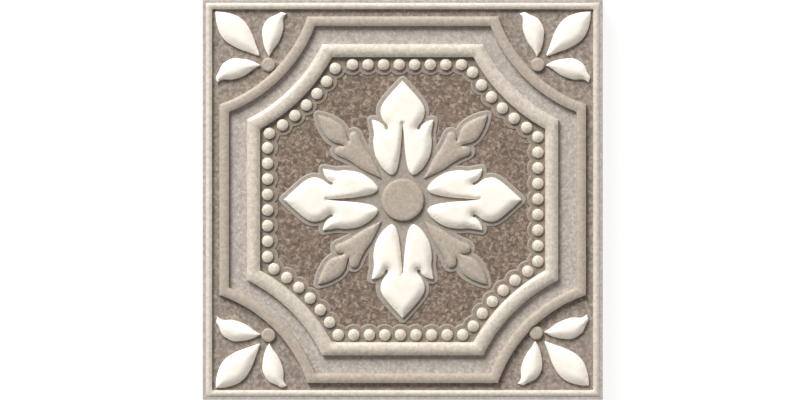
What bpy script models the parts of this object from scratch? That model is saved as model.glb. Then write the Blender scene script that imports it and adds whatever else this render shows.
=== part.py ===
"""Insert tile: one square of pressed and glazed clay with a rosette, a bead row and leafy corners.

The tile lies on its back. Its centre is at the origin in plan, +Z is up out of the glazed face,
and the back is at z = 0. The whole tile is one solid, joined from the slab and its relief.
"""

import math

import bmesh
import bpy
from mathutils import Vector
from mathutils.geometry import intersect_point_line

MM = 0.001

# Driving dimensions in millimetres: the square, and the heights above the flat back
SIDE = 150.0
ARRIS = 0.4
FIELD = 8.0
FLANGE = 9.12
ROSETTE_BACKING = 8.3
BEAD_BACKING = 8.3
RAIL = 9.6
OUTER_MOULDING = 10.1
INNER_MOULDING = 10.5
PETAL = 10.45
DIAGONAL_LEAF = 9.45
CENTRE_DISC = 9.75
CORNER_LEAF = 10.25
CORNER_DISC = 9.3

# The relief's roots inside the slab, at depths of their own so that no two of them share a face
BEAD_ROOT = 7.6
RELIEF_ROOT = 7.4
BACKING_ROOT = 7.2

# The straight runs of the frame, given by their distance from the tile's centre
RAIL_OUTSIDE = 73.9
RAIL_INSIDE = 71.4
OUTER_MOULDING_OUTSIDE = 68.8
OUTER_MOULDING_INSIDE = 65.1
INNER_MOULDING_OUTSIDE = 58.4
INNER_MOULDING_INSIDE = 53.4
BEAD_LINE = 50.7

# Hollow corners of the frame: one centre on each diagonal, and the radius of each line about it
CORNER_CENTRE = 85.4
OUTER_MOULDING_OUTSIDE_ARC = 52.3
OUTER_MOULDING_INSIDE_ARC = 56.3
INNER_MOULDING_OUTSIDE_ARC = 61.45
INNER_MOULDING_INSIDE_ARC = 67.05
BEAD_ARC = 70.1
ARC_STEPS = 6

# The section of a moulding: an upright foot, a wall with a little draft, and a low dome
FOOT = 0.3
DRAFT = 0.2
RAIL_DOME = 0.45
OUTER_MOULDING_DOME = 0.4
INNER_MOULDING_DOME = 0.8
DOME_STEPS = 4

# The bead row: equal domes at one pitch, from just past the top left corner the whole way round
BEADS = 59
BEAD_PITCH = 5.838
FIRST_BEAD = 1.7
BEAD_PATH_STEPS = 48
BEAD_RADIUS = 2.2
BEAD_RISE = 1.25
BEAD_SIDES = 8
BEAD_SHOULDER = (0.95, 0.45)
BEAD_CAP = 0.5
SCALLOP_RADIUS = 4.1
SCALLOP_STEPS = 3

DISC_RADIUS = 7.9
DISC_SIDES = 28
CORNER_DISC_RADIUS = 2.6
CORNER_DISC_SIDES = 12
CORNER_DISC_PLACE = 50.5
# How far each corner's ornament lies off its true place, anticlockwise from the top right
CORNER_SHIFTS = ((0.19, 0.19), (0.1, 0.19), (0.19, -0.28), (-0.47, 0.56))
DISC_CAP = 0.9

# A leaf or petal rises in levels: how far each is drawn in towards the crest, and its share of the rise
CROWN_LEVELS = ((0.0, 0.58), (0.3, 0.88), (0.65, 1.0))

# The petal's crest: its reach from the centre, its lobes' distance from the axis, and where they part
PETAL_CREST = (13.0, 38.0)
PETAL_LOBE = 5.8
PETAL_LOBE_END = 24.0
PETAL_CROWN_START = 34.0

# The leaves' crests, from the foot to the tip
DIAGONAL_LEAF_CREST = ((16.0, 0.0), (40.0, 0.0))
BROAD_LEAF_CREST = ((81.0, 0.0), (95.0, 0.0))
SLIM_LEAF_CREST = ((49.6, 57.0), (47.6, 67.0))

# How far a drawn curve may leave its true line
TOLERANCE = 0.1

# Half of a petal: distance from its axis, distance from the tile's centre
PETAL_HALF = (
    ((0.0, 44.6), (3.2, 41.2), (6.4, 37.5), (8.0, 34.9), (8.3, 32.6), (7.5, 30.0), (5.9, 27.9),
     (5.4, 26.7)),
    ((5.4, 26.7), (5.9, 26.2), (6.5, 26.5), (7.1, 27.8), (8.8, 29.2), (10.9, 29.9), (11.6, 29.8)),
    ((11.6, 29.8), (11.2, 27.2), (10.8, 24.6), (11.0, 21.0), (10.1, 16.1), (7.4, 11.6), (4.4, 9.3),
     (2.6, 10.4), (1.6, 13.4), (0.8, 18.8), (0.4, 23.5), (0.0, 27.4)),
)

# Half of a leaf between two petals: distance from the tile's centre along the diagonal, distance from it
DIAGONAL_LEAF_HALF = (
    ((11.2, 0.0), (18.6, 2.6), (23.1, 3.5), (26.6, 4.5), (29.0, 5.5), (30.6, 5.4), (31.5, 3.9),
     (30.8, 2.3), (29.7, 1.25)),
    ((29.7, 1.25), (31.2, 1.7), (33.4, 3.0), (36.2, 3.5), (39.5, 2.8), (42.6, 1.5), (44.9, 0.0)),
)

# An eighth of the rosette's backing, from the tip of a petal round to the tip of a leaf
BACKING_EIGHTH = (
    ((0.0, 46.2), (1.2, 46.0), (3.8, 43.7), (7.5, 39.5), (9.7, 35.6), (10.1, 33.4), (10.0, 31.6)),
    ((10.0, 31.6), (12.1, 31.3), (13.5, 29.7), (13.2, 27.3), (12.7, 24.2), (12.8, 21.4)),
    ((12.8, 21.4), (14.2, 24.5), (15.8, 26.8), (18.0, 27.4), (20.1, 27.1)),
    ((20.1, 27.1), (22.6, 30.1), (26.0, 32.1), (29.6, 33.3), (31.8, 33.4), (32.7, 32.7)),
)

# Half of the broad corner leaf, along and across the diagonal
BROAD_LEAF_HALF = (
    ((76.1, 0.0), (76.6, 0.5), (80.1, 2.1), (83.7, 3.8), (87.8, 5.0), (91.2, 5.0), (94.1, 4.0),
     (97.2, 2.1), (99.6, 0.0)),
)

# The slim corner leaf beside it, in plan: its outer edge, then its inner edge
SLIM_LEAF = (
    ((50.2, 53.4), (51.8, 56.4), (52.7, 60.4), (52.7, 64.2), (50.6, 67.7), (47.4, 69.3), (45.6, 70.2),
     (43.6, 69.6)),
    ((43.6, 69.6), (44.8, 67.6), (44.9, 63.6), (46.5, 59.2), (48.9, 55.7), (50.2, 53.4)),
)


def material(name, colour, roughness):
    """Give a glaze its colour and gloss."""
    glaze = bpy.data.materials.new(name)
    glaze.use_nodes = True
    shader = glaze.node_tree.nodes["Principled BSDF"]
    shader.inputs["Base Color"].default_value = (*colour, 1.0)
    shader.inputs["Roughness"].default_value = roughness
    shader.inputs["Metallic"].default_value = 0.0
    return glaze


def cream_glaze():
    return material("cream_glaze", (0.80, 0.73, 0.62), 0.25)


def taupe_glaze():
    return material("taupe_glaze", (0.46, 0.39, 0.32), 0.45)


def field_glaze():
    return material("field_glaze", (0.27, 0.21, 0.165), 0.5)


def smooth_line(points, pieces=8):
    """Draw one smooth line through the points, as a Catmull-Rom spline."""
    knots = [Vector(point) for point in points]
    knots = [knots[0] * 2 - knots[1], *knots, knots[-1] * 2 - knots[-2]]
    line = []
    for before, start, end, after in zip(knots, knots[1:], knots[2:], knots[3:]):
        for step in range(pieces):
            t = step / pieces
            bend = 2 * before - 5 * start + 4 * end - after
            twist = 3 * start - before - 3 * end + after
            line.append(0.5 * (2 * start + (end - before) * t + bend * t ** 2 + twist * t ** 3))
    return [*line, knots[-2]]


def thinned(line):
    """Keep only the points of a line that its shape needs."""
    start, end = line[0], line[-1]
    chord = end - start
    gaps = [abs(chord.cross(point - start)) / chord.length for point in line]
    worst = max(range(len(line)), key=gaps.__getitem__)
    if gaps[worst] <= TOLERANCE:
        return [start, end]
    return thinned(line[:worst + 1])[:-1] + thinned(line[worst:])


def outline(stretches):
    """Join smooth stretches that meet at corners, and leave out the last point."""
    points = []
    for stretch in stretches:
        points += thinned(smooth_line(stretch))[:-1]
    return points


def mirrored(half, end, swap):
    """Close a half outline with its mirror image, from its first point on the axis to the end point."""
    return [*half, Vector(end), *(swap(point) for point in reversed(half[1:]))]


def turned(points, quarter):
    """Turn an outline about the tile's centre by a number of quarter turns."""
    angle = math.radians(90 * quarter)
    cosine, sine = math.cos(angle), math.sin(angle)
    return [Vector((p.x * cosine - p.y * sine, p.x * sine + p.y * cosine)) for p in points]


def along_diagonal(points):
    """Turn an outline drawn along +X onto the tile's diagonal."""
    return [Vector((p.x - p.y, p.x + p.y)) / math.sqrt(2) for p in points]


def square(half):
    return [Vector((half, -half)), Vector((half, half)), Vector((-half, half)), Vector((-half, -half))]


def circle(centre, radius, sides):
    angles = [2 * math.pi * side / sides for side in range(sides)]
    return [Vector(centre) + radius * Vector((math.cos(a), math.sin(a))) for a in angles]


def frame_line(straight, arc, steps=ARC_STEPS):
    """Draw a line of the octagonal frame: four straight sides joined by hollow arcs."""
    side_end = CORNER_CENTRE - math.sqrt(arc ** 2 - (CORNER_CENTRE - straight) ** 2)
    start = math.atan2(side_end - CORNER_CENTRE, straight - CORNER_CENTRE)
    end = math.atan2(straight - CORNER_CENTRE, side_end - CORNER_CENTRE)
    corner = []
    for step in range(steps + 1):
        angle = start + (end - start) * step / steps
        x, y = CORNER_CENTRE + arc * math.cos(angle), CORNER_CENTRE + arc * math.sin(angle)
        corner.append(Vector((x, y)))
    return [point for quarter in range(4) for point in turned(corner, quarter)]


def solid_object(name, mesh_maker, glaze):
    """Make an object from a function that fills a bmesh, in metres."""
    mesh = bpy.data.meshes.new(name)
    bm = bmesh.new()
    mesh_maker(bm)
    bmesh.ops.recalc_face_normals(bm, faces=bm.faces)
    bmesh.ops.scale(bm, vec=(MM, MM, MM), verts=bm.verts)
    bm.to_mesh(mesh)
    bm.free()
    mesh.materials.append(glaze)
    shape = bpy.data.objects.new(name, mesh)
    bpy.context.scene.collection.objects.link(shape)
    return shape


def add_ring(bm, points, z):
    return [bm.verts.new((p.x, p.y, z)) for p in points]


def add_band(bm, lower, upper):
    """Join two rings of equally many vertices with a band of faces."""
    count = len(lower)
    for i in range(count):
        j = (i + 1) % count
        bm.faces.new((lower[i], lower[j], upper[j], upper[i]))


def stacked(name, levels, glaze):
    """Make a closed solid from outlines stacked upwards, each a pair of outline and height."""
    def fill(bm):
        rings = [add_ring(bm, points, z) for points, z in levels]
        for lower, upper in zip(rings, rings[1:]):
            add_band(bm, lower, upper)
        bm.faces.new(reversed(rings[0]))
        bm.faces.new(rings[-1])
    return solid_object(name, fill, glaze)


def swept(name, section, glaze):
    """Make a closed moulding from the lines that its section's corners follow."""
    def fill(bm):
        rings = [add_ring(bm, points, z) for points, z in section]
        for inner, outer in zip(rings, rings[1:] + rings[:1]):
            add_band(bm, inner, outer)
    return solid_object(name, fill, glaze)


def slab():
    """The square slab: eased arrises, a low flange round its edge, and the recessed field."""
    half = SIDE / 2
    flange_inside = (RAIL_OUTSIDE + RAIL_INSIDE) / 2
    levels = (
        (square(half - ARRIS), 0.0),
        (square(half), ARRIS),
        (square(half), FLANGE - ARRIS / 2),
        (square(half - ARRIS / 2), FLANGE),
        (square(flange_inside), FLANGE),
        (square(flange_inside), FIELD),
    )
    return stacked("tile", levels, field_glaze())


def domed_moulding(name, line, width, top, dome, glaze):
    """A moulding between two lines, which are its share 0 and its share 1 of the way across."""
    section = [(line(0.0), RELIEF_ROOT), (line(0.0), FIELD + FOOT)]
    draft = DRAFT / width
    for step in range(DOME_STEPS + 1):
        across = draft + (1 - 2 * draft) * step / DOME_STEPS
        section.append((line(across), top - dome * (2 * across - 1) ** 2))
    section += [(line(1.0), FIELD + FOOT), (line(1.0), RELIEF_ROOT)]
    return swept(name, section, glaze)


def rail():
    """The square rail just inside the flange."""
    width = RAIL_OUTSIDE - RAIL_INSIDE
    return domed_moulding("rail", lambda share: square(RAIL_OUTSIDE - share * width), width, RAIL,
                          RAIL_DOME, cream_glaze())


def between(first, last, share):
    return first + share * (last - first)


def outer_moulding():
    """The lower taupe moulding of the octagonal frame."""
    def line(share):
        return frame_line(between(OUTER_MOULDING_OUTSIDE, OUTER_MOULDING_INSIDE, share),
                          between(OUTER_MOULDING_OUTSIDE_ARC, OUTER_MOULDING_INSIDE_ARC, share))
    width = OUTER_MOULDING_OUTSIDE - OUTER_MOULDING_INSIDE
    return domed_moulding("outer_moulding", line, width, OUTER_MOULDING, OUTER_MOULDING_DOME, taupe_glaze())


def inner_moulding():
    """The tall cream moulding inside it, across a channel whose floor is the field."""
    def line(share):
        return frame_line(between(INNER_MOULDING_OUTSIDE, INNER_MOULDING_INSIDE, share),
                          between(INNER_MOULDING_OUTSIDE_ARC, INNER_MOULDING_INSIDE_ARC, share))
    width = INNER_MOULDING_OUTSIDE - INNER_MOULDING_INSIDE
    return domed_moulding("inner_moulding", line, width, INNER_MOULDING, INNER_MOULDING_DOME, cream_glaze())


def bead_centres():
    """Space the beads at one pitch along their path, anticlockwise from the top left corner."""
    path = frame_line(BEAD_LINE, BEAD_ARC, BEAD_PATH_STEPS)
    top_left = BEAD_PATH_STEPS + 1
    path = path[top_left:] + path[:top_left + 1]
    centres = []
    for bead in range(BEADS):
        left_to_go = FIRST_BEAD + BEAD_PITCH * bead
        for start, end in zip(path, path[1:]):
            length = (end - start).length
            if left_to_go <= length:
                centres.append(start.lerp(end, left_to_go / length))
                break
            left_to_go -= length
    return centres


def bead_backing(centres):
    """The low band under the beads, scalloped round each bead on its inner side."""
    inner = []
    outer = []
    reach = (INNER_MOULDING_OUTSIDE + INNER_MOULDING_INSIDE) / 2 - BEAD_LINE
    befores, afters = centres[-1:] + centres[:-1], centres[1:] + centres[:1]
    for before, centre, after in zip(befores, centres, afters):
        run = (after - before).normalized()
        outwards = Vector((run.y, -run.x))
        half_turn = math.asin((after - before).length / 4 / SCALLOP_RADIUS)
        for step in range(SCALLOP_STEPS):
            angle = half_turn * (2 * step / SCALLOP_STEPS - 1)
            along = centre + run * SCALLOP_RADIUS * math.sin(angle)
            inner.append(along - outwards * SCALLOP_RADIUS * math.cos(angle))
            outer.append(along + outwards * reach)
    section = ((outer, BACKING_ROOT), (outer, BEAD_BACKING), (inner, BEAD_BACKING), (inner, BACKING_ROOT))
    return swept("bead_backing", section, taupe_glaze())


def beads(centres):
    """The bead row: low domes of one size, each with a shoulder and a flat cap."""
    glaze = cream_glaze()
    shoulder_radius, cap_radius = BEAD_SHOULDER[0] * BEAD_RADIUS, BEAD_CAP * BEAD_RADIUS
    shoulder_height = BEAD_BACKING + BEAD_SHOULDER[1] * BEAD_RISE
    domes = []
    for number, centre in enumerate(centres):
        levels = (
            (circle(centre, BEAD_RADIUS, BEAD_SIDES), BEAD_ROOT),
            (circle(centre, shoulder_radius, BEAD_SIDES), shoulder_height),
            (circle(centre, cap_radius, BEAD_SIDES), BEAD_BACKING + BEAD_RISE),
        )
        domes.append(stacked(f"bead_{number:02d}", levels, glaze))
    return domes


def rosette_backing():
    """The low plate that the rosette stands on, which follows its outline."""
    eighth = outline(BACKING_EIGHTH)
    quarter = mirrored(eighth, BACKING_EIGHTH[-1][-1], lambda p: Vector((p.y, p.x)))
    plate = [point for turn in range(4) for point in turned(quarter, -turn)]
    return stacked("rosette_backing", ((plate, BACKING_ROOT), (plate, ROSETTE_BACKING)), taupe_glaze())


def crowned(name, foot, crest, place, ground, top, glaze):
    """A leaf or petal: upright at its foot, then drawn in towards its crest as it rises."""
    levels = [(place(foot), RELIEF_ROOT)]
    for drawn_in, up in CROWN_LEVELS:
        ring = place([point.lerp(crest(point), drawn_in) for point in foot])
        levels.append((ring, ground + up * (top - ground)))
    return stacked(name, levels, glaze)


def straight_crest(ends):
    """Make the function that finds the nearest point of a straight crest."""
    start, end = Vector(ends[0]), Vector(ends[1])

    def nearest(point):
        share = intersect_point_line(point, start, end)[1]
        return start.lerp(end, min(1.0, max(0.0, share)))
    return nearest


def eased(low, high, value):
    """Ease from 0 to 1 between two values."""
    t = min(1.0, max(0.0, (value - low) / (high - low)))
    return t * t * (3 - 2 * t)


def petal_crest(point):
    """The petal's crest: one at its crown, parting into the middles of its two lobes."""
    lobe = PETAL_LOBE * (1 - eased(PETAL_LOBE_END, PETAL_CROWN_START, point.y))
    side = 0 if point.x == 0 else math.copysign(lobe, point.x)
    return Vector((side, min(max(point.y, PETAL_CREST[0]), PETAL_CREST[1])))


def petals():
    """The rosette's four petals, each parted down its middle and hooked on both sides."""
    foot = mirrored(outline(PETAL_HALF), PETAL_HALF[-1][-1], lambda p: Vector((-p.x, p.y)))
    glaze = cream_glaze()
    return [
        crowned(f"petal_{turn + 1}", foot, petal_crest, lambda ring: turned(ring, turn),
                ROSETTE_BACKING, PETAL, glaze)
        for turn in range(4)
    ]


def diagonal_leaves():
    """The four lower leaves between the petals, each with two side lobes and a pointed end."""
    foot = mirrored(outline(DIAGONAL_LEAF_HALF), DIAGONAL_LEAF_HALF[-1][-1], lambda p: Vector((p.x, -p.y)))
    crest = straight_crest(DIAGONAL_LEAF_CREST)
    glaze = taupe_glaze()
    return [
        crowned(f"diagonal_leaf_{turn + 1}", foot, crest, lambda ring: turned(along_diagonal(ring), turn),
                ROSETTE_BACKING, DIAGONAL_LEAF, glaze)
        for turn in range(4)
    ]


def disc(name, centre, radius, sides, ground, top):
    """A flat disc with a rounded rim."""
    levels = (
        (circle(centre, radius, sides), RELIEF_ROOT),
        (circle(centre, radius, sides), (ground + top) / 2),
        (circle(centre, DISC_CAP * radius, sides), top),
    )
    return stacked(name, levels, taupe_glaze())


def corner_ornament(turn):
    """One corner's disc, its broad leaf along the diagonal and the slim leaf on each side of that."""
    broad = mirrored(outline(BROAD_LEAF_HALF), BROAD_LEAF_HALF[-1][-1], lambda p: Vector((p.x, -p.y)))
    slim = outline(SLIM_LEAF)
    slim_crest = straight_crest(SLIM_LEAF_CREST)
    glaze = cream_glaze()

    def place(ring):
        return [point + Vector(CORNER_SHIFTS[turn]) for point in turned(ring, turn)]

    centre = place([Vector((CORNER_DISC_PLACE, CORNER_DISC_PLACE))])[0]
    return [
        crowned(f"broad_leaf_{turn + 1}", broad, straight_crest(BROAD_LEAF_CREST),
                lambda ring: place(along_diagonal(ring)), FIELD, CORNER_LEAF, glaze),
        crowned(f"slim_leaf_{2 * turn + 1}", slim, slim_crest, place, FIELD, CORNER_LEAF, glaze),
        crowned(f"slim_leaf_{2 * turn + 2}", slim, slim_crest,
                lambda ring: place([Vector((p.y, p.x)) for p in ring]), FIELD, CORNER_LEAF, glaze),
        disc(f"corner_disc_{turn + 1}", centre, CORNER_DISC_RADIUS, CORNER_DISC_SIDES, FIELD, CORNER_DISC),
    ]


def joined(body, relief):
    """Join the relief to the slab as one solid."""
    group = bpy.data.collections.new("relief")
    bpy.context.scene.collection.children.link(group)
    for shape in relief:
        bpy.context.scene.collection.objects.unlink(shape)
        group.objects.link(shape)
        shape.hide_render = True
        shape.display_type = "WIRE"
    union = body.modifiers.new("relief", "BOOLEAN")
    union.operation = "UNION"
    union.solver = "EXACT"
    union.operand_type = "COLLECTION"
    union.collection = group
    union.material_mode = "TRANSFER"


def tile():
    centres = bead_centres()
    relief = [
        rail(),
        outer_moulding(),
        inner_moulding(),
        bead_backing(centres),
        *beads(centres),
        rosette_backing(),
        *petals(),
        *diagonal_leaves(),
        disc("centre_disc", (0.0, 0.0), DISC_RADIUS, DISC_SIDES, ROSETTE_BACKING, CENTRE_DISC),
    ]
    for turn in range(4):
        relief += corner_ornament(turn)
    joined(slab(), relief)


for leftover in list(bpy.data.objects):
    bpy.data.objects.remove(leftover, do_unlink=True)
tile()
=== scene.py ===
import math

import bmesh
import bpy
import numpy as np
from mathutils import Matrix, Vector
from mathutils.geometry import delaunay_2d_cdt


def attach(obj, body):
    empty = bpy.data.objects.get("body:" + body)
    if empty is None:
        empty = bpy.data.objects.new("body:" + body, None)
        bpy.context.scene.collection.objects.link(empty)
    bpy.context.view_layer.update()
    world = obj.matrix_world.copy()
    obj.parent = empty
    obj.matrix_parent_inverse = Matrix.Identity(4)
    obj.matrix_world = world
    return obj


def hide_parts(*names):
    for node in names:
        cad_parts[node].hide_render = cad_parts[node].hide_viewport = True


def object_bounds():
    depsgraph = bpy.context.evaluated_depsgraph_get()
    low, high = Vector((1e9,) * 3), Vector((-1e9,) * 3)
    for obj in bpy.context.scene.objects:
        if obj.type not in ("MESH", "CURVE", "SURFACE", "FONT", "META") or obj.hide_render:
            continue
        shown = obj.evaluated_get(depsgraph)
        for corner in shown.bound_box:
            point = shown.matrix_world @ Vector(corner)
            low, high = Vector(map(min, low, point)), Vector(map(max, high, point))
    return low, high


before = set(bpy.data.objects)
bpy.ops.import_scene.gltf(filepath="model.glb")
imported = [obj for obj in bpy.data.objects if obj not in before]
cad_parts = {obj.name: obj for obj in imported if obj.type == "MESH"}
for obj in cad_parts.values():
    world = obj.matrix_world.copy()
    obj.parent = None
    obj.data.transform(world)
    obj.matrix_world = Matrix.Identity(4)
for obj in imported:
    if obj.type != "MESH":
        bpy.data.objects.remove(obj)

cad_low, cad_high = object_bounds()


# The slab
# The tile is one square of fine clay, pressed face up in a steel die, dried, glazed and fired. Its
# relief is drawn below in plan, in design millimetres from its centre and its flat back, and the
# unit turns those into metres, from the side of the frame's own tile.

SIDE = 150.0
unit = (cad_high.x - cad_low.x) / SIDE
FIELD = 8.0
FLANGE = 9.12
ARRIS = 0.4
FLANGE_ARRIS = 0.12
QUARTERS = ((1, 1), (-1, 1), (-1, -1), (1, -1))

forms = []
press_lines = []


class Form:
    """One raised shape of the die.

    depth(points) tells how far each point lies inside its outline. The shape stands on its ground,
    and its dome rises over the spread, from a slope at the edge to level at the top. A shape that
    cuts replaces what is there, and any other only covers what is lower.
    """

    WALL = 0.12
    SHOULDER, SHOULDER_SLOPE = 0.25, 0.6
    LIP_PLACE, LIP_WIDTH = 0.55, 0.22

    def __init__(self, depth, ground, top, spread, slope, glaze, lip=0.0, dome_depth=None,
                 cuts=False):
        self.depth, self.dome_depth = depth, dome_depth
        self.ground, self.top = ground, top
        self.spread, self.slope, self.lip = spread, slope, lip
        self.glaze = glaze
        self.cuts = cuts
        self.dome = self.rise(spread)
        forms.append(self)

    def rise(self, depth):
        """How far the dome has risen at a depth: over the shoulder first, then up to its top."""
        on_shoulder = self.SHOULDER_SLOPE * self.slope * np.minimum(depth, self.SHOULDER)
        run = self.spread - self.SHOULDER
        share = np.clip((depth - self.SHOULDER) / run, 0, 1)
        return on_shoulder + self.slope * run / 2 * (1 - (1 - share) ** 2)

    def height(self, points, depth):
        """The surface at some depths: a wall with a little draft, then the dome and any lip."""
        wall = np.sin(np.clip(depth / self.WALL, 0, 1) * math.pi / 2)
        edge = self.top - self.dome
        lip = self.lip * np.exp(-((depth - self.LIP_PLACE) / self.LIP_WIDTH) ** 2)
        dome_depth = np.maximum(self.dome_depth(points), 0) if self.dome_depth else depth
        return self.ground + (edge - self.ground) * wall + self.rise(dome_depth) + lip


def folded(points):
    """Fold the plan onto one eighth of the tile, because the die is the same in all eight."""
    plan = np.abs(points)
    return np.stack((plan.min(axis=1), plan.max(axis=1)), axis=1)


BATCH = 4000


def distance_to(points, line):
    """The distance from each point to a line of straight pieces, a batch at a time."""
    starts, runs = line[:-1], line[1:] - line[:-1]
    lengths = (runs ** 2).sum(axis=1)
    nearest = np.empty(len(points))
    for first in range(0, len(points), BATCH):
        offsets = points[first:first + BATCH, None] - starts
        along = np.clip((offsets * runs).sum(axis=2) / lengths, 0, 1)
        gaps = offsets - along[..., None] * runs
        nearest[first:first + BATCH] = np.sqrt((gaps ** 2).sum(axis=2).min(axis=1))
    return nearest


def is_inside(points, ring):
    """Tell which points lie inside a closed outline."""
    inside = np.zeros(len(points), bool)
    for (x1, y1), (x2, y2) in zip(ring, np.roll(ring, -1, axis=0)):
        if y1 == y2:
            continue
        crosses = (y1 > points[:, 1]) != (y2 > points[:, 1])
        inside ^= crosses & (points[:, 0] < x1 + (points[:, 1] - y1) / (y2 - y1) * (x2 - x1))
    return inside


STEPS_PER_KNOT = 24


def smooth_line(points, step=0.35):
    """Draw one smooth line through a few points, as a Catmull-Rom spline with even steps."""
    knots = np.array(points, float)
    knots = np.vstack((2 * knots[0] - knots[1], knots, 2 * knots[-1] - knots[-2]))
    fine = []
    for before, start, end, after in zip(knots, knots[1:], knots[2:], knots[3:]):
        t = np.linspace(0, 1, STEPS_PER_KNOT, endpoint=False)[:, None]
        fine.append(0.5 * (2 * start + (end - before) * t
                           + (2 * before - 5 * start + 4 * end - after) * t ** 2
                           + (3 * start - before - 3 * end + after) * t ** 3))
    fine = np.vstack((*fine, knots[-2:-1]))
    along = np.concatenate(([0], np.cumsum(np.hypot(*np.diff(fine, axis=0).T))))
    even = np.linspace(0, along[-1], max(2, round(along[-1] / step) + 1))
    return np.stack([np.interp(even, along, fine[:, axis]) for axis in (0, 1)], axis=1)


def outline(stretches):
    """Join smooth stretches that meet at corners into one open line."""
    lines = [smooth_line(stretch) for stretch in stretches]
    return np.vstack([line[:-1] for line in lines[:-1]] + [lines[-1]])


def upright(points):
    """Leave points as they are drawn, for a shape that stands upright in plan."""
    return points


def along_diagonal(points):
    """Turn folded points so that the tile's diagonal is their first axis."""
    return np.stack((points[:, 0] + points[:, 1], points[:, 1] - points[:, 0]), axis=1) / math.sqrt(2)


def from_diagonal(points):
    """Turn points drawn along the diagonal back into plan."""
    return np.stack((points[:, 0] - points[:, 1], points[:, 0] + points[:, 1]), axis=1) / math.sqrt(2)


def depth_in(half, turn=upright):
    """Make the function that gives a point's depth inside a shape drawn by half of its outline."""
    def depth(points):
        local = turn(folded(points))
        gap = distance_to(local, half)
        return np.where(is_inside(local, half), gap, -gap)
    return depth


def press(line, good=None, eight=True, shifts=None):
    """Press the good stretches of a line, once or in all eight parts, each quarter shifted."""
    good = np.ones(len(line), bool) if good is None else good
    breaks = np.flatnonzero(np.diff(good.astype(int))) + 1
    for piece, keep in zip(np.split(line, breaks), np.split(good, breaks)):
        if not keep[0] or len(piece) < 2:
            continue
        if not eight:
            press_lines.append(piece)
            continue
        for shape in (piece, piece[:, ::-1]):
            for quarter in QUARTERS:
                press_lines.append(shape * quarter + (shifts[quarter] if shifts else 0))


# The glazes share one recipe: colour blotched by noise, a second tint that drifts over it, fine
# grain, paler along the crest of a ledge's lip, partly where the glaze ran thin and partly as a
# painted highlight, and a faint orange peel. On the sides it runs down over the bare clay to a wavy
# edge.

TINT_SIZE, TINT_SHARE = 2.2, 0.6
PEEL_SIZE, PEEL_DEPTH = 0.8, 0.15
COAT_ROUGHNESS = 0.15
RUN_LEVEL, RUN_WAVE, RUN_DEPTH, RUN_EDGE, RUN_ROUGHNESS = 9.4, 7.0, 4.0, 0.15, 0.45
MIX_UNDER, MIX_OVER, MIX_RESULT = 6, 7, 2


def shader_nodes(name):
    """A new material, with its nodes, its links and its shader."""
    material = bpy.data.materials.new(name)
    material.use_nodes = True
    tree = material.node_tree
    return material, tree.nodes, tree.links, tree.nodes["Principled BSDF"]


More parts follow.
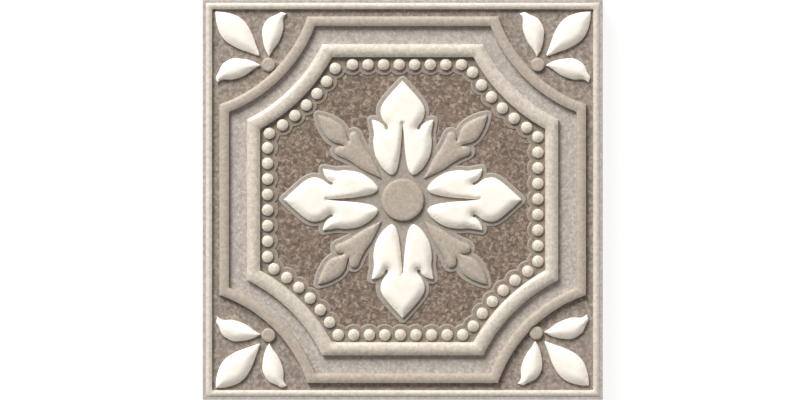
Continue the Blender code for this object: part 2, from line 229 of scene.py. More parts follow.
def glaze(name, dark, base, light, tint=None, blotch=1.5, grain=0.45, grain_share=0.35,
          thin_glaze_and_highlight_colour=None, run_colour=None, roughness=0.4, coat=0.0, bump=0.2,
          spread=(0.36, 0.5, 0.66)):
    """A glaze: blotches of three colours, with a tint and grain over them, sizes in millimetres."""
    material, nodes, links, principled = shader_nodes(name)
    place = nodes.new("ShaderNodeTexCoord")

    def noise(size, detail, distortion=0.0, roughness=0.5):
        node = nodes.new("ShaderNodeTexNoise")
        node.inputs["Scale"].default_value = 1 / (size * unit)
        node.inputs["Detail"].default_value = detail
        node.inputs["Distortion"].default_value = distortion
        node.inputs["Roughness"].default_value = roughness
        links.new(place.outputs["Object"], node.inputs["Vector"])
        return node.outputs["Fac"]

    def between(value, low, high, share, least=0.0):
        node = nodes.new("ShaderNodeMapRange")
        node.inputs["From Min"].default_value = low
        node.inputs["From Max"].default_value = high
        node.inputs["To Min"].default_value = least
        node.inputs["To Max"].default_value = share
        links.new(value, node.inputs["Value"])
        return node.outputs["Result"]

    def over(under, factor, colour):
        node = nodes.new("ShaderNodeMix")
        node.data_type = "RGBA"
        links.new(factor, node.inputs["Factor"])
        links.new(under, node.inputs[MIX_UNDER])
        node.inputs[MIX_OVER].default_value = (*colour, 1)
        return node.outputs[MIX_RESULT]

    ramp = nodes.new("ShaderNodeValToRGB")
    ramp.color_ramp.elements[0].position = spread[0]
    ramp.color_ramp.elements[0].color = (*dark, 1)
    ramp.color_ramp.elements[1].position = spread[2]
    ramp.color_ramp.elements[1].color = (*light, 1)
    ramp.color_ramp.elements.new(spread[1]).color = (*base, 1)
    links.new(noise(blotch, 4.0, 0.6, 0.6), ramp.inputs["Fac"])
    colour = ramp.outputs["Color"]
    if tint:
        drift = noise(TINT_SIZE * blotch, 3.0, 0.4)
        colour = over(colour, between(drift, 0.5, 0.7, TINT_SHARE), tint)
    colour = over(colour, between(noise(grain, 2.0), 0.5, 0.75, grain_share), dark)
    # The crest of a lip is made paler: partly glaze run thin, partly a painted highlight.
    if thin_glaze_and_highlight_colour:
        rim = nodes.new("ShaderNodeAttribute")
        rim.attribute_name = "rim"
        colour = over(colour, rim.outputs["Fac"], thin_glaze_and_highlight_colour)
    principled.inputs["Roughness"].default_value = roughness
    if run_colour:
        axes = nodes.new("ShaderNodeSeparateXYZ")
        links.new(place.outputs["Object"], axes.inputs[0])
        level = nodes.new("ShaderNodeMath")
        level.operation = "MULTIPLY_ADD"
        links.new(noise(RUN_WAVE, 3.0), level.inputs[0])
        level.inputs[1].default_value = RUN_DEPTH * unit
        links.new(axes.outputs["Z"], level.inputs[2])
        low, high = (RUN_LEVEL - RUN_EDGE) * unit, (RUN_LEVEL + RUN_EDGE) * unit
        colour = over(colour, between(level.outputs[0], low, high, 1.0), run_colour)
        gloss = between(level.outputs[0], low, high, RUN_ROUGHNESS, roughness)
        links.new(gloss, principled.inputs["Roughness"])
    links.new(colour, principled.inputs["Base Color"])
    principled.inputs["Coat Weight"].default_value = coat
    principled.inputs["Coat Roughness"].default_value = COAT_ROUGHNESS
    peel = nodes.new("ShaderNodeBump")
    peel.inputs["Strength"].default_value = bump
    peel.inputs["Distance"].default_value = PEEL_DEPTH * unit
    links.new(noise(PEEL_SIZE, 3.0), peel.inputs["Height"])
    links.new(peel.outputs["Normal"], principled.inputs["Normal"])
    return material


field_glaze = glaze("field_glaze", dark=(0.105, 0.074, 0.051), base=(0.19, 0.137, 0.1),
                    light=(0.4, 0.317, 0.25), tint=(0.235, 0.16, 0.118), blotch=1.4, roughness=0.55,
                    bump=0.4)
outer_field_glaze = glaze("outer_field_glaze", dark=(0.18, 0.142, 0.11), base=(0.27, 0.22, 0.177),
                          light=(0.42, 0.36, 0.31), tint=(0.31, 0.245, 0.208), blotch=1.6,
                          roughness=0.55, bump=0.4)
flange_glaze = glaze("flange_glaze", dark=(0.34, 0.3, 0.26), base=(0.43, 0.385, 0.338),
                     light=(0.53, 0.485, 0.44), blotch=1.3, roughness=0.5)
biscuit = glaze("biscuit", dark=(0.5, 0.41, 0.32), base=(0.58, 0.49, 0.39), light=(0.64, 0.55, 0.45),
                run_colour=(0.43, 0.385, 0.338), blotch=3.0, grain=0.25, roughness=0.9, bump=0.5)


# The rail and its flange
# A square rail stands just inside a lower flange that the grout joint meets. Its top is a low dome
# and its walls have a little draft, so that it leaves the die. The rail is glazed cream and the
# flange a greyer taupe.

RAIL = 9.6
RAIL_OUTSIDE = 73.9
RAIL_INSIDE = 71.4

rail_glaze = glaze("rail_glaze", dark=(0.54, 0.485, 0.4), base=(0.62, 0.56, 0.475),
                   light=(0.7, 0.64, 0.55), blotch=1.4, grain=0.35, coat=0.2, bump=0.12)


def rail_depth(points):
    """The depth inside the rail."""
    reach = folded(points)[:, 1]
    return np.minimum(RAIL_OUTSIDE - reach, reach - RAIL_INSIDE)


Form(rail_depth, FIELD, RAIL, spread=1.25, slope=0.62, glaze=rail_glaze)


def square_line(half, step=2.0):
    """A closed square line, with points at even steps."""
    count = round(2 * half / step)
    side = np.linspace(-half, half, count, endpoint=False)
    east = np.stack((np.full(count, half), side), axis=1)
    north = np.stack((-side, np.full(count, half)), axis=1)
    return np.vstack((east, north, -east, -north, east[:1]))


WALL_STEPS = (-0.3, 0.0, 0.04, 0.08, 0.12, 0.25, 0.45, 0.8, 1.2)
for step in WALL_STEPS:
    press(square_line(RAIL_OUTSIDE - step), eight=False)
    press(square_line(RAIL_INSIDE + step), eight=False)
for inset in (0.0, FLANGE_ARRIS / 3, FLANGE_ARRIS, 2 * FLANGE_ARRIS):
    press(square_line(SIDE / 2 - inset), eight=False)


# The two mouldings and the channel between them
# Both follow one octagon whose corners are hollowed by arcs about one centre. The outer moulding is
# low and taupe, the inner one is tall and cream, and the channel between them has a greyer glaze.

CORNER_CENTRE = 85.4
OUTER_MOULDING, INNER_MOULDING = 10.1, 10.5
OUTER_OUTSIDE, OUTER_INSIDE = (68.8, 52.3), (65.1, 56.3)
INNER_OUTSIDE, INNER_INSIDE = (58.4, 61.45), (53.4, 67.05)

CREST = 0.7

cream_glaze = glaze("cream_glaze", dark=(0.49, 0.434, 0.36), base=(0.58, 0.512, 0.425),
                    light=(0.67, 0.605, 0.514), blotch=1.4, grain=0.35, coat=0.15, bump=0.12)
moulding_glaze = glaze("moulding_glaze", dark=(0.38, 0.316, 0.254), base=(0.438, 0.37, 0.302),
                       light=(0.5, 0.43, 0.356), blotch=1.3, grain=0.35, roughness=0.45, coat=0.15,
                       bump=0.15)
channel_glaze = glaze("channel_glaze", dark=(0.335, 0.29, 0.25), base=(0.43, 0.38, 0.333),
                      light=(0.56, 0.51, 0.47), tint=(0.43, 0.365, 0.318), blotch=1.2,
                      roughness=0.55, bump=0.3)


def inset_from(points, line):
    """How far a point lies inside a line of the frame, given by its sides' and its arcs' distance."""
    straight, arc = line
    plan = folded(points)
    from_corner = np.hypot(CORNER_CENTRE - plan[:, 0], CORNER_CENTRE - plan[:, 1])
    return np.minimum(straight - plan[:, 1], from_corner - arc)


def frame_line(line, straight_step=2.0, arc_step=0.9):
    """A closed line of the frame: four straight sides joined by hollow arcs."""
    straight, arc = line
    side_end = CORNER_CENTRE - math.sqrt(arc ** 2 - (CORNER_CENTRE - straight) ** 2)
    count = round(2 * side_end / straight_step)
    side = np.linspace(-side_end, side_end, count, endpoint=False)
    east = np.stack((np.full(count, straight), side), axis=1)
    first = math.atan2(side_end - CORNER_CENTRE, straight - CORNER_CENTRE) % (2 * math.pi)
    last = math.atan2(straight - CORNER_CENTRE, side_end - CORNER_CENTRE) % (2 * math.pi)
    angles = np.linspace(first, last, round(arc * abs(last - first) / arc_step), endpoint=False)
    corner = CORNER_CENTRE + arc * np.stack((np.cos(angles), np.sin(angles)), axis=1)
    quarter = np.vstack((east, corner))
    turns = [quarter]
    for _ in range(3):
        turns.append(np.stack((-turns[-1][:, 1], turns[-1][:, 0]), axis=1))
    return np.vstack((*turns, quarter[:1]))


def moulding(outside, inside, top, slope, colour):
    """A moulding pressed along the frame, between two of its lines."""
    half = (outside[0] - inside[0]) / 2

    def depth(points):
        return np.minimum(inset_from(points, outside), -inset_from(points, inside))

    Form(depth, FIELD, top, spread=half, slope=slope, glaze=colour)
    for step in (*WALL_STEPS, CREST * half):
        press(frame_line((outside[0] - step, outside[1] + step)), eight=False)
        press(frame_line((inside[0] + step, inside[1] - step)), eight=False)
    middle = ((outside[0] + inside[0]) / 2, (outside[1] + inside[1]) / 2)
    press(frame_line(middle), eight=False)


moulding(OUTER_OUTSIDE, OUTER_INSIDE, OUTER_MOULDING, 0.42, moulding_glaze)
moulding(INNER_OUTSIDE, INNER_INSIDE, INNER_MOULDING, 0.62, cream_glaze)


# The rosette
# Four glossy petals stand on a low ledge that follows their outline and has a fine lip, with a low
# taupe leaf in each gap between them and a flat disc in the middle.

PETAL, DIAGONAL_LEAF, CENTRE_DISC, LEDGE = 10.45, 9.45, 9.75, 8.3
DISC_RADIUS = 7.9
LEDGE_REACH = 1.8
LEDGE_HUB = 12.5
SLIT_FOOT, SLIT_END, SLIT_GAIN = 14.0, 27.0, 2.5

PETAL_HALF = (
    ((0.0, 44.6), (3.2, 41.2), (6.4, 37.5), (8.0, 34.9), (8.3, 32.6), (7.5, 30.0), (5.9, 27.9),
     (5.4, 26.7)),
    ((5.4, 26.7), (5.9, 26.2), (6.5, 26.5), (7.1, 27.8), (8.8, 29.2), (10.9, 29.9), (11.6, 29.8)),
    ((11.6, 29.8), (11.2, 27.2), (10.8, 24.6), (11.0, 21.0), (10.1, 16.1), (7.4, 11.6), (4.4, 9.3),
     (2.6, 10.4), (1.6, 13.4), (0.8, 18.8), (0.4, 23.5), (0.0, 27.4)),
)
DIAGONAL_LEAF_HALF = (
    ((11.2, 0.0), (18.6, 2.6), (23.1, 3.5), (26.6, 4.5), (29.0, 5.5), (30.6, 5.4), (31.5, 3.9),
     (30.8, 2.3), (29.7, 1.25)),
    ((29.7, 1.25), (31.2, 1.7), (33.4, 3.0), (36.2, 3.5), (39.5, 2.8), (42.6, 1.5), (44.9, 0.0)),
)

petal_glaze = glaze("petal_glaze", dark=(0.895, 0.825, 0.72), base=(0.935, 0.87, 0.765),
                    light=(0.945, 0.885, 0.78), blotch=4.0, grain=0.8, roughness=0.35, coat=0.15,
                    bump=0.06)
taupe_glaze = glaze("taupe_glaze", dark=(0.365, 0.304, 0.244), base=(0.42, 0.354, 0.288),
                    light=(0.48, 0.413, 0.342), blotch=1.2, grain=0.35, roughness=0.5, bump=0.15)
# The ledge's paler lip crest is partly thin glaze and partly a painted highlight.
ledge_glaze = glaze("ledge_glaze", dark=(0.27, 0.23, 0.19), base=(0.33, 0.285, 0.24),
                    light=(0.4, 0.352, 0.302), thin_glaze_and_highlight_colour=(0.37, 0.322, 0.275), blotch=0.9,
                    roughness=0.5, bump=0.25)

petal_half = outline(PETAL_HALF)
leaf_half = outline(DIAGONAL_LEAF_HALF)
petal_depth = depth_in(petal_half)
leaf_depth = depth_in(leaf_half, along_diagonal)
lobe_foot = petal_half[:, 1].argmin()


def petal_dome_depth(points):
    """The depth that the petal's dome rises by, counted for more beside the slit's upper end."""
    local = folded(points)
    up_the_slit = np.clip((local[:, 1] - SLIT_FOOT) / (SLIT_END - SLIT_FOOT), 0, 1)
    from_slit = distance_to(local, petal_half[lobe_foot:]) * (1 + SLIT_GAIN * up_the_slit)
    return np.minimum(distance_to(local, petal_half[:lobe_foot + 1]), from_slit)


def disc_depth(points):
    """The depth inside the disc in the middle."""
    return DISC_RADIUS - np.hypot(*points.T)


def ledge_depth(points):
    """The depth inside the ledge, which reaches past the petals and leaves and round the disc."""
    beside_shapes = LEDGE_REACH + np.maximum(petal_depth(points), leaf_depth(points))
    return np.maximum(beside_shapes, LEDGE_HUB - np.hypot(*points.T))


Form(ledge_depth, FIELD, LEDGE, spread=0.6, slope=0.2, glaze=ledge_glaze, lip=0.025)
Form(petal_depth, LEDGE, PETAL, spread=3.5, slope=0.78, glaze=petal_glaze,
     dome_depth=petal_dome_depth)
Form(leaf_depth, LEDGE, DIAGONAL_LEAF, spread=2.0, slope=0.45, glaze=taupe_glaze)
Form(disc_depth, LEDGE, CENTRE_DISC, spread=1.2, slope=0.4, glaze=taupe_glaze)


ON_LINE = 0.03
CAP_STEP = 0.3


def press_beside(line, offset, depth, wanted, shifts=None):
    """Press a line moved sideways both ways, where it then lies at the wanted depth in a shape."""
    runs = np.gradient(line, axis=0)
    normals = np.stack((-runs[:, 1], runs[:, 0]), axis=1) / np.hypot(*runs.T)[:, None]
    for side in (-offset, offset) if offset else (0,):
        moved = line + side * normals
        press(moved, np.abs(depth(moved) - wanted) < ON_LINE, shifts=shifts)


def ring_line(centre, radius, step=0.45):
    """A closed round line."""
    angles = np.linspace(0, 2 * math.pi, max(12, round(2 * math.pi * radius / step)) + 1)
    return np.array(centre) + radius * np.stack((np.cos(angles), np.sin(angles)), axis=1)


SHAPE_STEPS = (-0.3, 0.0, 0.04, 0.08, 0.12, 0.25, 0.45, 0.8, 1.2)
LEDGE_STEPS = (-0.25, 0.0, 0.07, 0.15, 0.35, 0.55, 0.75, 0.95)
for step in SHAPE_STEPS:
    press_beside(petal_half, step, petal_depth, step)
    press_beside(from_diagonal(leaf_half), step, leaf_depth, step)
    press(ring_line((0, 0), DISC_RADIUS - step), eight=False)
for step in LEDGE_STEPS:
    for half, place, stretches in ((petal_half, upright, PETAL_HALF),
                                   (leaf_half, from_diagonal, DIAGONAL_LEAF_HALF)):
        press_beside(place(half), LEDGE_REACH - step, ledge_depth, step)
        corners = np.array([end for stretch in stretches for end in (stretch[0], stretch[-1])])
        for corner in place(corners):
            cap = ring_line(corner, LEDGE_REACH - step, CAP_STEP)
            in_eighth = (cap[:, 0] >= 0) & (cap[:, 1] >= cap[:, 0])
            press(cap, in_eighth & (np.abs(ledge_depth(cap) - step) < ON_LINE))


# The corner ornaments
# In each corner a small taupe disc carries one broad leaf along the diagonal and a slim hooked
# leaf on each side of it, glazed like the petals.

CORNER_LEAF, CORNER_DISC = 10.25, 9.3
CORNER_DISC_PLACE, CORNER_DISC_RADIUS = 50.5, 2.6
CORNER_SHIFTS = {(1, 1): (0.19, 0.19), (-1, 1): (0.1, 0.19), (-1, -1): (0.19, -0.28),
                 (1, -1): (-0.47, 0.56)}
BROAD_LEAF_HALF = (
    ((76.1, 0.0), (76.6, 0.5), (80.1, 2.1), (83.7, 3.8), (87.8, 5.0), (91.2, 5.0), (94.1, 4.0),
     (97.2, 2.1), (99.6, 0.0)),
)
SLIM_LEAF = (
    ((50.2, 53.4), (51.8, 56.4), (52.7, 60.4), (52.7, 64.2), (50.6, 67.7), (47.4, 69.3), (45.6, 70.2),
     (43.6, 69.6)),
    ((43.6, 69.6), (44.8, 67.6), (44.9, 63.6), (46.5, 59.2), (48.9, 55.7), (50.2, 53.4)),
)

broad_half = outline(BROAD_LEAF_HALF)
slim_line = outline(SLIM_LEAF)
drawn_broad_depth = depth_in(broad_half, along_diagonal)
drawn_slim_depth = depth_in(slim_line)


def unshifted(points):
    """Move each corner's points back by its ornament's shift, to where the drawing has them."""
    moved = np.array(points)
    for quarter, shift in CORNER_SHIFTS.items():
        moved[(np.where(points < 0, -1, 1) == quarter).all(axis=1)] -= shift
    return moved


def broad_depth(points):
    """The depth inside the broad leaves."""
    return drawn_broad_depth(unshifted(points))


def slim_depth(points):
    """The depth inside the slim leaves."""
    return drawn_slim_depth(unshifted(points))


def corner_disc_depth(points):
    """The depth inside the small discs."""
    return CORNER_DISC_RADIUS - np.hypot(*(folded(unshifted(points)) - CORNER_DISC_PLACE).T)


Form(broad_depth, FIELD, CORNER_LEAF, spread=3.8, slope=0.72, glaze=petal_glaze)
Form(slim_depth, FIELD, CORNER_LEAF, spread=3.3, slope=0.8, glaze=petal_glaze)
Form(corner_disc_depth, FIELD, CORNER_DISC, spread=0.8, slope=0.5, glaze=moulding_glaze,
     cuts=True)
for step in SHAPE_STEPS:
    press_beside(from_diagonal(broad_half), step, drawn_broad_depth, step, shifts=CORNER_SHIFTS)
    press_beside(slim_line, step, drawn_slim_depth, step, shifts=CORNER_SHIFTS)
    disc_line = ring_line((CORNER_DISC_PLACE,) * 2, CORNER_DISC_RADIUS - step)
    for quarter in QUARTERS:
        press(disc_line * quarter + CORNER_SHIFTS[quarter], eight=False)


# The beads' ledge
# A low ledge runs under the bead row, scalloped round each bead. The beads are evenly spaced from
# just past the top left corner, the whole way round, so that a wider gap is left at that corner.

BEAD_LINE = (50.7, 70.1)
BEADS = 59
BEAD_PITCH = 5.838
FIRST_BEAD = 1.7
SCALLOP_RADIUS = 4.1
BAND = 2.3
BEHIND_MOULDING = -1.0
NOWHERE = -9.0
CLEAR_OF_MOULDING = 0.5

# The bead ledge's paler lip crest is partly thin glaze and partly a painted highlight.
bead_ledge_glaze = glaze("bead_ledge_glaze", dark=(0.19, 0.15, 0.115), base=(0.255, 0.205, 0.16),
                         light=(0.33, 0.275, 0.225), thin_glaze_and_highlight_colour=(0.33, 0.277, 0.228), blotch=1.1,
                         roughness=0.5, bump=0.3)


def bead_path():
    """The line through the beads' centres, anticlockwise, and each of its points' way along it."""
    straight, arc = BEAD_LINE
    path = frame_line(BEAD_LINE, straight_step=0.5, arc_step=0.25)
    side_end = CORNER_CENTRE - math.sqrt(arc ** 2 - (CORNER_CENTRE - straight) ** 2)
    first = np.hypot(*(path[:-1] - (-side_end, straight)).T).argmin()
    path = np.vstack((path[first:-1], path[:first + 1]))
    return path, np.concatenate(([0], np.cumsum(np.hypot(*np.diff(path, axis=0).T))))


def along_bead_path(places):
    """The points at some distances along the beads' line."""
    path, along = bead_path()
    return np.stack([np.interp(places, along, path[:, axis]) for axis in (0, 1)], axis=1)


bead_centres = along_bead_path(FIRST_BEAD + BEAD_PITCH * np.arange(BEADS))


def bead_ledge_depth(points):
    """The depth inside the beads' ledge: a band along the moulding, scalloped round each bead."""
    nearest = np.full(len(points), np.inf)
    for centre in bead_centres:
        nearest = np.minimum(nearest, np.hypot(*(points - centre).T))
    inset = inset_from(points, INNER_INSIDE)
    depth = np.maximum(SCALLOP_RADIUS - nearest, BAND - inset)
    return np.where(inset > BEHIND_MOULDING, depth, NOWHERE)


Form(bead_ledge_depth, FIELD, LEDGE, spread=0.6, slope=0.2, glaze=bead_ledge_glaze, lip=0.03)
for step in LEDGE_STEPS:
    for centre in bead_centres:
        ring = ring_line(centre, SCALLOP_RADIUS - step)
        at_its_edge = np.abs(bead_ledge_depth(ring) - step) < ON_LINE
        clear = inset_from(ring, INNER_INSIDE) > CLEAR_OF_MOULDING
        press(ring, at_its_edge & clear, eight=False)


# Pressing the face
# All the lines above are joined into one net of triangles, and each point of it is lifted to the
# highest of the forms there, so that the face, its relief, the edges and the back are one skin.

ON_FIELD, ON_OUTER_FIELD, ON_FLANGE, ON_CHANNEL, ON_FORM = 0, 1, 2, 3, 10
UNDER_MOULDING = 1.0
RIM_PLACE, RIM_WIDTH = 0.35, 0.3


def pressed(points):
    """The height of the face, what lies there, and how much of a lip's crest, at each point."""
    reach = folded(points)[:, 1]
    inside_inner = inset_from(points, INNER_OUTSIDE) > UNDER_MOULDING
    channel = (inset_from(points, OUTER_OUTSIDE) > UNDER_MOULDING) & ~inside_inner
    on_flange = reach > (RAIL_INSIDE + RAIL_OUTSIDE) / 2
    height = np.where(on_flange, FLANGE, FIELD)
    edge = np.clip((SIDE / 2 - reach) / FLANGE_ARRIS, 0, 1)
    height = height - np.where(on_flange, FLANGE_ARRIS * (1 - np.sqrt(1 - (1 - edge) ** 2)), 0)
    kind = np.where(inside_inner, ON_FIELD, ON_OUTER_FIELD)
    kind = np.where(channel, ON_CHANNEL, kind)
    kind = np.where(on_flange, ON_FLANGE, kind)
    rim = np.zeros(len(points))
    depths = [form.depth(points) for form in forms]
    for index, (form, depth) in enumerate(zip(forms, depths)):
        level = form.height(points, np.maximum(depth, 0))
        higher = (depth > 0) & ((level >= height) | form.cuts)
        height = np.where(higher, level, height)
        kind = np.where(higher, ON_FORM + index, kind)
    # Mark each lip's crest, which the ledge glazes paint paler: partly thin glaze, partly a painted
    # highlight.
    for index, (form, depth) in enumerate(zip(forms, depths)):
        if form.lip:
            crest = np.exp(-((depth - RIM_PLACE) / RIM_WIDTH) ** 2)
            rim = np.where(kind == ON_FORM + index, crest, rim)
    return height, kind, rim


def honeycomb(spacing, half):
    """Points in a honeycomb over a square."""
    spots = []
    for number, y in enumerate(np.arange(-half, half, spacing * math.sqrt(3) / 2)):
        x = np.arange(-half, half, spacing) + (number % 2) * spacing / 2
        spots.append(np.stack((x, np.full(len(x), y)), axis=1))
    return np.vstack(spots)


def dome_depth(points):
    """The depth inside the petals and the corner leaves, which are domed all over."""
    return np.maximum(petal_depth(points), np.maximum(broad_depth(points), slim_depth(points)))


DOME_SPACING, DOME_MARGIN = 0.42, 0.2
OPEN_SPACING, OPEN_MARGIN = 1.6, 0.7
MERGE_DISTANCE = 1e-4
SMOOTH_DEPTH, SMOOTH_ROUNDS, SMOOTH_SHARE = 0.6, 6, 0.5
SHARP_ANGLE = math.radians(50)

on_domes = honeycomb(DOME_SPACING, RAIL_OUTSIDE)
on_domes = on_domes[dome_depth(on_domes) > SHAPE_STEPS[-1] + DOME_MARGIN]
in_the_open = honeycomb(OPEN_SPACING, RAIL_OUTSIDE)
clear = np.min([np.abs(form.depth(in_the_open)) for form in forms], axis=0)
in_the_open = in_the_open[(clear > OPEN_MARGIN) & (dome_depth(in_the_open) < 0)]

plan = np.vstack((*press_lines, on_domes, in_the_open))
edges = []
start = 0
for line in press_lines:
    edges += [(start + step, start + step + 1) for step in range(len(line) - 1)]
    start += len(line)
net = delaunay_2d_cdt([Vector(point) for point in plan], edges, [], 0, MERGE_DISTANCE, False)
plan = np.array([tuple(point) for point in net[0]])
triangles = np.array(net[2])
height, _, rim = pressed(plan)
kind = pressed(plan[triangles].mean(axis=1))[1]

glazes = [field_glaze, outer_field_glaze, flange_glaze, channel_glaze, biscuit]
BISCUIT = glazes.index(biscuit)
slots = {ON_FIELD: 0, ON_OUTER_FIELD: 1, ON_FLANGE: 2, ON_CHANNEL: 3}
for index, form in enumerate(forms):
    if form.glaze not in glazes:
        glazes.append(form.glaze)
    slots[ON_FORM + index] = glazes.index(form.glaze)

bm = bmesh.new()
rim_layer = bm.verts.layers.float.new("rim")
verts = []
for (x, y), z, on_rim in zip(plan, height, rim):
    vert = bm.verts.new((x, y, z))
    vert[rim_layer] = on_rim
    verts.append(vert)
for corners, here in zip(triangles, kind):
    face = bm.faces.new([verts[corner] for corner in corners])
    face.material_index = slots[here]
    face.smooth = True
on_a_dome = [vert for vert, depth in zip(verts, dome_depth(plan)) if depth > SMOOTH_DEPTH]
for _ in range(SMOOTH_ROUNDS):
    bmesh.ops.smooth_vert(bm, verts=on_a_dome, factor=SMOOTH_SHARE, use_axis_z=True)

# The sides and the back are drawn out of the face's edge.
boundary = [edge for edge in bm.edges if edge.is_boundary]
for z, inset in ((ARRIS, 0.0), (0.0, ARRIS)):
    skirt = bmesh.ops.extrude_edge_only(bm, edges=boundary)["geom"]
    drawn_edges = [item for item in skirt if isinstance(item, bmesh.types.BMEdge)]
    boundary = [edge for edge in drawn_edges if edge.is_boundary]
    for face in (item for item in skirt if isinstance(item, bmesh.types.BMFace)):
        face.material_index = BISCUIT
    for vert in {vert for edge in boundary for vert in edge.verts}:
        scale = 1 - inset / (SIDE / 2)
        vert.co = (vert.co.x * scale, vert.co.y * scale, z)
back = bmesh.ops.contextual_create(bm, geom=boundary)["faces"]
for face in back:
    face.material_index = BISCUIT
    face.smooth = False
bmesh.ops.triangulate(bm, faces=back)
bmesh.ops.recalc_face_normals(bm, faces=bm.faces)
bmesh.ops.scale(bm, vec=(unit, unit, unit), verts=bm.verts)
mesh = bpy.data.meshes.new("pressed_tile")
bm.to_mesh(mesh)
bm.free()
mesh.set_sharp_from_angle(angle=SHARP_ANGLE)
for material in glazes:
    mesh.materials.append(material)
pressed_tile = bpy.data.objects.new("pressed_tile", mesh)
bpy.context.scene.collection.objects.link(pressed_tile)
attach(pressed_tile, "root")
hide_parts("tile")


# The beads
# Fifty-nine equal round beads stand in the scallops, domed and glazed cream like the mouldings.
# Geometry nodes space them along their path and seat each one in the ledge.

BEAD_RADIUS = 2.15
BEAD_FOOT, BEAD_DOME, BEAD_SINK = 0.65, 0.6, 0.2
BEAD_SEGMENTS, BEAD_RINGS = 24, 16
EQUATOR = -1e-6
PATH_STEPS = 20 * (BEADS - 1)
BEAD_SHARP_ANGLE = math.radians(40)

bead_glaze = glaze("bead_glaze", dark=(0.53, 0.455, 0.36), base=(0.65, 0.578, 0.475),
                   light=(0.775, 0.708, 0.605), blotch=0.9, grain=0.5, grain_share=0.5)


def bead_row_tree():
    """Beads along a path: a ball's upper half becomes a low dome, its lower half an upright foot."""
    tree = bpy.data.node_groups.new("bead_row", "GeometryNodeTree")
    face = tree.interface
    face.new_socket("Geometry", in_out="INPUT", socket_type="NodeSocketGeometry")
    face.new_socket("Beads", in_out="INPUT", socket_type="NodeSocketInt")
    for name in ("Radius", "Foot", "Dome", "Sink"):
        face.new_socket(name, in_out="INPUT", socket_type="NodeSocketFloat")
    face.new_socket("Material", in_out="INPUT", socket_type="NodeSocketMaterial")
    face.new_socket("Geometry", in_out="OUTPUT", socket_type="NodeSocketGeometry")
    nodes, links = tree.nodes, tree.links
    given = nodes.new("NodeGroupInput").outputs

    def maths(operation, first, second):
        node = nodes.new("ShaderNodeMath")
        node.operation = operation
        for socket, value in zip(node.inputs, (first, second)):
            if isinstance(value, (int, float)):
                socket.default_value = value
            else:
                links.new(value, socket)
        return node.outputs[0]

    curve = nodes.new("GeometryNodeMeshToCurve")
    links.new(given["Geometry"], curve.inputs["Mesh"])
    spaced = nodes.new("GeometryNodeResampleCurve")
    links.new(curve.outputs["Curve"], spaced.inputs["Curve"])
    links.new(given["Beads"], spaced.inputs["Count"])
    ball = nodes.new("GeometryNodeMeshUVSphere")
    ball.inputs["Segments"].default_value = BEAD_SEGMENTS
    ball.inputs["Rings"].default_value = BEAD_RINGS
    links.new(given["Radius"], ball.inputs["Radius"])
    split = nodes.new("ShaderNodeSeparateXYZ")
    links.new(nodes.new("GeometryNodeInputPosition").outputs[0], split.inputs[0])
    x, y, z = split.outputs
    out_squared = maths("DIVIDE", maths("ADD", maths("MULTIPLY", x, x), maths("MULTIPLY", y, y)),
                        maths("MULTIPLY", given["Radius"], given["Radius"]))
    risen = maths("MULTIPLY", given["Dome"], maths("SUBTRACT", 1.0, out_squared))
    dome = maths("ADD", given["Foot"], risen)
    above = maths("GREATER_THAN", z, EQUATOR)
    below = maths("SUBTRACT", 1.0, above)
    sunk = maths("MULTIPLY", below, given["Sink"])
    level = maths("SUBTRACT", maths("MULTIPLY", above, dome), sunk)
    join = nodes.new("ShaderNodeCombineXYZ")
    links.new(x, join.inputs["X"])
    links.new(y, join.inputs["Y"])
    links.new(level, join.inputs["Z"])
    bead = nodes.new("GeometryNodeSetPosition")
    links.new(ball.outputs["Mesh"], bead.inputs["Geometry"])
    links.new(join.outputs[0], bead.inputs["Position"])
    row = nodes.new("GeometryNodeInstanceOnPoints")
    links.new(spaced.outputs["Curve"], row.inputs["Points"])
    links.new(bead.outputs["Geometry"], row.inputs["Instance"])
    real = nodes.new("GeometryNodeRealizeInstances")
    links.new(row.outputs["Instances"], real.inputs["Geometry"])
    finish = nodes.new("GeometryNodeSetMaterial")
    links.new(real.outputs["Geometry"], finish.inputs["Geometry"])
    links.new(given["Material"], finish.inputs["Material"])
    links.new(finish.outputs["Geometry"], nodes.new("NodeGroupOutput").inputs["Geometry"])
    return tree


path_mesh = bpy.data.meshes.new("bead_path")
row_length = BEAD_PITCH * (BEADS - 1)
path_points = along_bead_path(FIRST_BEAD + row_length * np.linspace(0, 1, PATH_STEPS + 1))
path_mesh.from_pydata([(x * unit, y * unit, LEDGE * unit) for x, y in path_points],
                      [(step, step + 1) for step in range(PATH_STEPS)], [])
path = bpy.data.objects.new("bead_path", path_mesh)
bpy.context.scene.collection.objects.link(path)
modifier = path.modifiers.new("bead_row", "NODES")
modifier.node_group = bead_row_tree()
sizes = {"Beads": BEADS, "Radius": BEAD_RADIUS * unit, "Foot": BEAD_FOOT * unit,
         "Dome": BEAD_DOME * unit, "Sink": BEAD_SINK * unit, "Material": bead_glaze}
for item in modifier.node_group.interface.items_tree:
    if item.in_out == "INPUT" and item.name in sizes:
        modifier[item.identifier] = sizes[item.name]
depsgraph = bpy.context.evaluated_depsgraph_get()
bead_mesh = bpy.data.meshes.new_from_object(path.evaluated_get(depsgraph))
bpy.data.objects.remove(path, do_unlink=True)
bead_mesh.shade_smooth()
bead_mesh.set_sharp_from_angle(angle=BEAD_SHARP_ANGLE)
bead_row = bpy.data.objects.new("bead_row", bead_mesh)
bpy.context.scene.collection.objects.link(bead_row)
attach(bead_row, "root")
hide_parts("tile")


# The studio
# The camera looks straight down on the tile, which fills the picture's height. One broad lamp
# stands at the upper left, and a pale sky fills the shadows.

bpy.context.scene.view_settings.view_transform = "Standard"

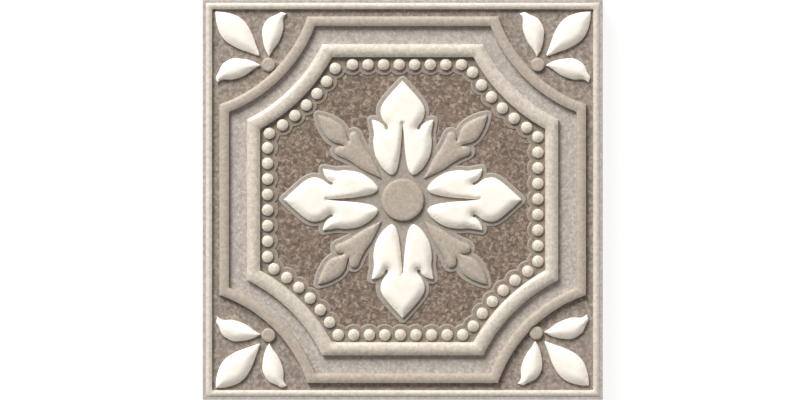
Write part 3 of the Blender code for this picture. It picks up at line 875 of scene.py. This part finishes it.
FLOOR_HALF = 2.0
FLOOR_SHADE = (0.12, 0.12, 0.12, 1)
FLOOR_GLOW, FLOOR_GLOW_STRENGTH = (1, 1, 0.985, 1), 0.89
floor_mesh = bpy.data.meshes.new("floor")
floor_mesh.from_pydata([(-FLOOR_HALF, -FLOOR_HALF, 0), (FLOOR_HALF, -FLOOR_HALF, 0),
                        (FLOOR_HALF, FLOOR_HALF, 0), (-FLOOR_HALF, FLOOR_HALF, 0)],
                       [], [(0, 1, 2, 3)])
floor_sheet = bpy.data.objects.new("floor", floor_mesh)
bpy.context.scene.collection.objects.link(floor_sheet)
floor_material, _, _, floor_shader = shader_nodes("floor_paper")
floor_shader.inputs["Base Color"].default_value = FLOOR_SHADE
floor_shader.inputs["Roughness"].default_value = 1.0
floor_shader.inputs["Emission Color"].default_value = FLOOR_GLOW
floor_shader.inputs["Emission Strength"].default_value = FLOOR_GLOW_STRENGTH
floor_mesh.materials.append(floor_material)

SKY = 0.295
world = bpy.data.worlds.new("sky")
bpy.context.scene.world = world
world.use_nodes = True
background = world.node_tree.nodes["Background"]
background.inputs["Color"].default_value = (1, 1, 1, 1)
background.inputs["Strength"].default_value = SKY

LAMP_AZIMUTH, LAMP_ALTITUDE = math.radians(118), math.radians(32)
LAMP_DISTANCE, LAMP_SIZE, LAMP_POWER = 6.0, 3.2, 640.0
lamp = bpy.data.lights.new("lamp", "AREA")
lamp.size = LAMP_SIZE
lamp.energy = LAMP_POWER
lamp_holder = bpy.data.objects.new("lamp", lamp)
bpy.context.scene.collection.objects.link(lamp_holder)
lamp_holder.location = LAMP_DISTANCE * Vector((math.cos(LAMP_AZIMUTH) * math.cos(LAMP_ALTITUDE),
                                               math.sin(LAMP_AZIMUTH) * math.cos(LAMP_ALTITUDE),
                                               math.sin(LAMP_ALTITUDE)))
lamp_holder.rotation_mode = "QUATERNION"
lamp_holder.rotation_quaternion = lamp_holder.location.to_track_quat("Z", "Y")

FOCAL_LENGTH = 200.0
IMAGE_WIDTH, IMAGE_HEIGHT = 800, 400
TILE_PIXELS = 400.0
TILE_CENTRE = (402.7, 199.7)
CLIP_END = 20
camera_data = bpy.data.cameras.new("camera")
camera_data.lens = FOCAL_LENGTH
camera_data.clip_end = CLIP_END
metres_per_pixel = SIDE * unit / TILE_PIXELS
distance = IMAGE_WIDTH * metres_per_pixel * FOCAL_LENGTH / camera_data.sensor_width
camera = bpy.data.objects.new("camera", camera_data)
bpy.context.scene.collection.objects.link(camera)
camera.location = ((IMAGE_WIDTH / 2 - TILE_CENTRE[0]) * metres_per_pixel,
                   (TILE_CENTRE[1] - IMAGE_HEIGHT / 2) * metres_per_pixel, FLANGE * unit + distance)
bpy.context.scene.camera = camera
